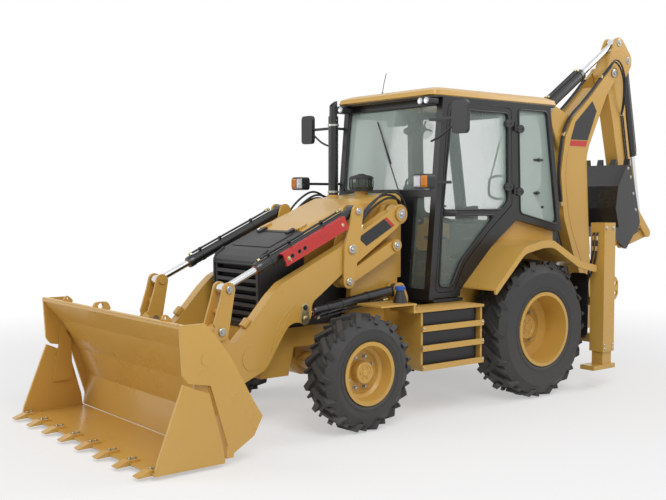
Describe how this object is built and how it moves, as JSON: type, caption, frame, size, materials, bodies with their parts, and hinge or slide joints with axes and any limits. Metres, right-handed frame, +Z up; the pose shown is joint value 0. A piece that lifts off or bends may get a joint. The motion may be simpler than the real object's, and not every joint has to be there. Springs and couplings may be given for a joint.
{
  "type": "backhoe loader",
  "caption": "Wheeled backhoe loader with an enclosed cab, a front loader with a hinged clam bucket on parallel-lift arms, and a side-shifting backhoe with stabilizer legs at the rear.",
  "frame": {"origin": "centre of the footprint on the ground, midway between the loader bucket's tooth tips and the rearmost backhoe link", "axes": "+X forward, +Y to the operator's left, +Z up"},
  "size_m": [6.941, 2.406, 3.6957],
  "materials": {
    "machine_yellow": "satin yellow machine enamel",
    "rim_yellow": "satin yellow wheel enamel",
    "black_plastic": "grained black plastic",
    "black_paint": "semi-gloss black enamel",
    "engine_grey": "painted cast iron",
    "tinted_glass": "green tinted safety glass",
    "seat_fabric": "woven black fabric",
    "tyre_rubber": "matt black rubber",
    "cylinder_black": "black enamel on steel",
    "chrome_rod": "polished hard chrome",
    "brace_red": "red enamel",
    "pin_steel": "zinc plated steel"
  },
  "bodies": {
    "chassis": {"main_frame": "machine_yellow", "engine": "engine_grey", "grille": "black_plastic", "front_axle": "machine_yellow", "rear_axle": "machine_yellow", "steps": "machine_yellow", "fenders": "machine_yellow", "cab_floor": "black_plastic", "cab_frame": "black_paint", "cab_glass": "tinted_glass", "cab_roof": "machine_yellow", "seat": "seat_fabric", "mirrors": "black_plastic", "lamps": "black_plastic", "stabilizer_frame": "machine_yellow"},
    "hood": {"hood": "machine_yellow", "exhaust": "black_paint"},
    "door_left": {"door_left": "black_paint", "door_left_glass": "tinted_glass"},
    "door_right": {"door_right": "black_paint", "door_right_glass": "tinted_glass"},
    "knuckle_left": {"knuckle_left": "machine_yellow"},
    "knuckle_right": {"knuckle_right": "machine_yellow"},
    "front_wheel_left": {"front_tyre_left": "tyre_rubber", "front_rim_left": "rim_yellow"},
    "rear_wheel_left": {"rear_tyre_left": "tyre_rubber", "rear_rim_left": "rim_yellow"},
    "front_wheel_right": {"front_tyre_right": "tyre_rubber", "front_rim_right": "rim_yellow"},
    "rear_wheel_right": {"rear_tyre_right": "tyre_rubber", "rear_rim_right": "rim_yellow"},
    "loader_arms": {"loader_arms": "machine_yellow"},
    "rear_levers": {"rear_levers": "machine_yellow"},
    "tower_links": {"tower_links": "machine_yellow"},
    "lift_barrels": {"lift_barrels": "cylinder_black"},
    "lift_rods": {"lift_rods": "chrome_rod"},
    "tilt_rods": {"tilt_rods": "chrome_rod"},
    "lever_pins": {"lever_pins": "pin_steel"},
    "front_levers": {"front_levers": "machine_yellow"},
    "bucket_pins": {"bucket_pins": "pin_steel"},
    "loader_bucket": {"loader_bucket": "machine_yellow"},
    "clam": {"clam": "machine_yellow"},
    "carriage": {"carriage": "machine_yellow"},
    "swing_post": {"swing_post": "machine_yellow"},
    "boom": {"boom": "machine_yellow"},
    "boom_barrel": {"boom_barrel": "cylinder_black"},
    "boom_rod": {"boom_rod": "chrome_rod"},
    "stick": {"stick": "machine_yellow"},
    "stick_barrel": {"stick_barrel": "cylinder_black"},
    "stick_rod": {"stick_rod": "chrome_rod"},
    "curl_barrel": {"curl_barrel": "cylinder_black"},
    "curl_rod": {"curl_rod": "chrome_rod"},
    "rocker": {"rocker": "machine_yellow"},
    "power_link": {"power_link": "machine_yellow"},
    "dig_bucket": {"dig_bucket": "cylinder_black"},
    "leg_left": {"leg_left": "cylinder_black"},
    "leg_right": {"leg_right": "cylinder_black"},
    "tilt_barrels": {"tilt_barrels": "cylinder_black", "arm_brace": "brace_red"}
  },
  "joints": [
    {"name": "steer_left", "type": "hinge", "parent": "chassis", "child": "knuckle_left", "pos_m": [1.3495, 0.69, 0.485], "axis": [0, 0, 1], "range_deg": [-38, 38]},
    {"name": "steer_right", "type": "hinge", "parent": "chassis", "child": "knuckle_right", "pos_m": [1.3495, -0.69, 0.485], "axis": [0, 0, 1], "range_deg": [-39, 39]},
    {"name": "front_wheel_left_spin", "type": "hinge", "parent": "knuckle_left", "child": "front_wheel_left", "pos_m": [1.3495, 0.935, 0.485], "axis": [0, 1, 0], "continuous": true},
    {"name": "rear_wheel_left_spin", "type": "hinge", "parent": "chassis", "child": "rear_wheel_left", "pos_m": [-0.8605, 0.865, 0.66], "axis": [0, 1, 0], "continuous": true},
    {"name": "front_wheel_right_spin", "type": "hinge", "parent": "knuckle_right", "child": "front_wheel_right", "pos_m": [1.3495, -0.935, 0.485], "axis": [0, 1, 0], "continuous": true},
    {"name": "rear_wheel_right_spin", "type": "hinge", "parent": "chassis", "child": "rear_wheel_right", "pos_m": [-0.8605, -0.865, 0.66], "axis": [0, 1, 0], "continuous": true},
    {"name": "door_left_swing", "type": "hinge", "parent": "chassis", "child": "door_left", "pos_m": [-0.8205, 0.712, 1.9], "axis": [0, 0, 1], "range_deg": [0, 80]},
    {"name": "door_right_swing", "type": "hinge", "parent": "chassis", "child": "door_right", "pos_m": [-0.8205, -0.712, 1.9], "axis": [0, 0, -1], "range_deg": [0, 80]},
    {"name": "hood_tilt", "type": "hinge", "parent": "chassis", "child": "hood", "pos_m": [1.482, 0, 1.642], "axis": [0, 1, 0], "range_deg": [0, 45]},
    {"name": "lift", "type": "hinge", "parent": "chassis", "child": "loader_arms", "pos_m": [0.5695, 0, 1.766], "axis": [0, -1, 0], "range_deg": [-2, 78]},
    {"name": "rear_lever_turn", "type": "hinge", "parent": "loader_arms", "child": "rear_levers", "pos_m": [1.1535, 0, 1.472], "axis": [0, -1, 0], "range_deg": [-79, 3]},
    {"name": "tower_link_turn", "type": "hinge", "parent": "chassis", "child": "tower_links", "pos_m": [0.5995, 0, 1.488], "axis": [0, -1, 0], "range_deg": [-3, 79]},
    {"name": "lift_barrel_turn", "type": "hinge", "parent": "chassis", "child": "lift_barrels", "pos_m": [0.5695, 0, 1.09], "axis": [0, -1, 0], "range_deg": [-2.71, 67.48]},
    {"name": "lift_rod_slide", "type": "slide", "parent": "lift_barrels", "child": "lift_rods", "axis": [0.9897, 0, -0.1434], "range_m": [-0.031, 0.832]},
    {"name": "tilt_barrel_turn", "type": "hinge", "parent": "rear_levers", "child": "tilt_barrels", "pos_m": [1.0835, 0, 1.797], "axis": [0, -1, 0], "range_deg": [-3, 79]},
    {"name": "tilt_rod_slide", "type": "slide", "parent": "tilt_barrels", "child": "tilt_rods", "axis": [0.9098, 0, -0.4151], "range_m": [-0.086, 0.1]},
    {"name": "lever_pin_turn", "type": "hinge", "parent": "loader_arms", "child": "lever_pins", "pos_m": [2.4665, 0, 0.873], "axis": [0, -1, 0], "range_deg": [-79, 3]},
    {"name": "front_lever_turn", "type": "hinge", "parent": "lever_pins", "child": "front_levers", "pos_m": [2.4665, 0, 0.873], "axis": [0, 1, 0], "range_deg": [-20, 23.5]},
    {"name": "bucket_pin_turn", "type": "hinge", "parent": "loader_arms", "child": "bucket_pins", "pos_m": [2.5295, 0, 0.29], "axis": [0, -1, 0], "range_deg": [-79, 3]},
    {"name": "tilt", "type": "hinge", "parent": "bucket_pins", "child": "loader_bucket", "pos_m": [2.5295, 0, 0.29], "axis": [0, 1, 0], "range_deg": [-38, 45]},
    {"name": "clam_open", "type": "hinge", "parent": "loader_bucket", "child": "clam", "pos_m": [2.9585, 0, 0.789], "axis": [0, -1, 0], "range_deg": [0, 65]},
    {"name": "side_shift", "type": "slide", "parent": "chassis", "child": "carriage", "axis": [0, 1, 0], "range_m": [-0.94, 0.18]},
    {"name": "swing", "type": "hinge", "parent": "carriage", "child": "swing_post", "pos_m": [-2.1055, 0.38, 0.645], "axis": [0, 0, 1], "range_deg": [-85, 85]},
    {"name": "boom_lower", "type": "hinge", "parent": "swing_post", "child": "boom", "pos_m": [-2.3205, 0.38, 0.72], "axis": [0, -1, 0], "range_deg": [0, 110]},
    {"name": "boom_barrel_turn", "type": "hinge", "parent": "swing_post", "child": "boom_barrel", "pos_m": [-2.0855, 0.38, 0.962], "axis": [0, -1, 0], "range_deg": [0, 115.47]},
    {"name": "boom_rod_slide", "type": "slide", "parent": "boom_barrel", "child": "boom_rod", "axis": [0.3793, 0, 0.9253], "range_m": [0, 0.553]},
    {"name": "stick_out", "type": "hinge", "parent": "boom", "child": "stick", "pos_m": [-2.6855, 0.38, 3.282], "axis": [0, 1, 0], "range_deg": [0, 100]},
    {"name": "stick_barrel_turn", "type": "hinge", "parent": "boom", "child": "stick_barrel", "pos_m": [-1.6605, 0.38, 2.84], "axis": [0, 1, 0], "range_deg": [0, 11.95]},
    {"name": "stick_rod_slide", "type": "slide", "parent": "stick_barrel", "child": "stick_rod", "axis": [-0.8294, 0, 0.5587], "range_m": [-0.582, 0]},
    {"name": "dig_bucket_open", "type": "hinge", "parent": "stick", "child": "dig_bucket", "pos_m": [-3.1305, 0.38, 1.6], "axis": [0, 1, 0], "range_deg": [0, 170]},
    {"name": "rocker_turn", "type": "hinge", "parent": "stick", "child": "rocker", "pos_m": [-3.0905, 0.38, 1.85], "axis": [0, 1, 0], "range_deg": [0, 100.45]},
    {"name": "curl_barrel_turn", "type": "hinge", "parent": "stick", "child": "curl_barrel", "pos_m": [-3.0235, 0.38, 3.455], "axis": [0, 1, 0], "range_deg": [0, 7.8]},
    {"name": "curl_rod_slide", "type": "slide", "parent": "curl_barrel", "child": "curl_rod", "axis": [-0.1997, 0, -0.9799], "range_m": [-0.69, 0]},
    {"name": "power_link_turn", "type": "hinge", "parent": "dig_bucket", "child": "power_link", "pos_m": [-2.9455, 0.38, 1.389], "axis": [0, -1, 0], "range_deg": [0, 86.85]},
    {"name": "leg_left_slide", "type": "slide", "parent": "chassis", "child": "leg_left", "axis": [0, 0, -1], "range_m": [0, 0.6]},
    {"name": "leg_right_slide", "type": "slide", "parent": "chassis", "child": "leg_right", "axis": [0, 0, -1], "range_m": [0, 0.6]}
  ],
  "couplings": [
    {"joint": "steer_right", "follows": "steer_left", "ratio": 1},
    {"joint": "rear_lever_turn", "follows": "lift", "ratio": -1},
    {"joint": "tower_link_turn", "follows": "lift", "ratio": 1},
    {"joint": "lift_barrel_turn", "follows": "lift", "ratio": 0.8523},
    {"joint": "lift_rod_slide", "follows": "lift", "m_per_rad": 0.6039},
    {"joint": "tilt_barrel_turn", "follows": "lift", "ratio": 1},
    {"joint": "tilt_rod_slide", "follows": "tilt", "m_per_rad": 0.11459},
    {"joint": "lever_pin_turn", "follows": "lift", "ratio": -1},
    {"joint": "front_lever_turn", "follows": "tilt", "ratio": 0.5},
    {"joint": "bucket_pin_turn", "follows": "lift", "ratio": -1},
    {"joint": "boom_barrel_turn", "follows": "boom_lower", "ratio": 1.0406},
    {"joint": "boom_rod_slide", "follows": "boom_lower", "m_per_rad": 0.28288},
    {"joint": "stick_barrel_turn", "follows": "stick_out", "ratio": 0.10954},
    {"joint": "stick_rod_slide", "follows": "stick_out", "m_per_rad": -0.32773},
    {"joint": "rocker_turn", "follows": "dig_bucket_open", "ratio": 0.585},
    {"joint": "curl_barrel_turn", "follows": "dig_bucket_open", "ratio": 0.04},
    {"joint": "curl_rod_slide", "follows": "dig_bucket_open", "m_per_rad": -0.22918},
    {"joint": "power_link_turn", "follows": "dig_bucket_open", "ratio": 0.505}
  ]
}
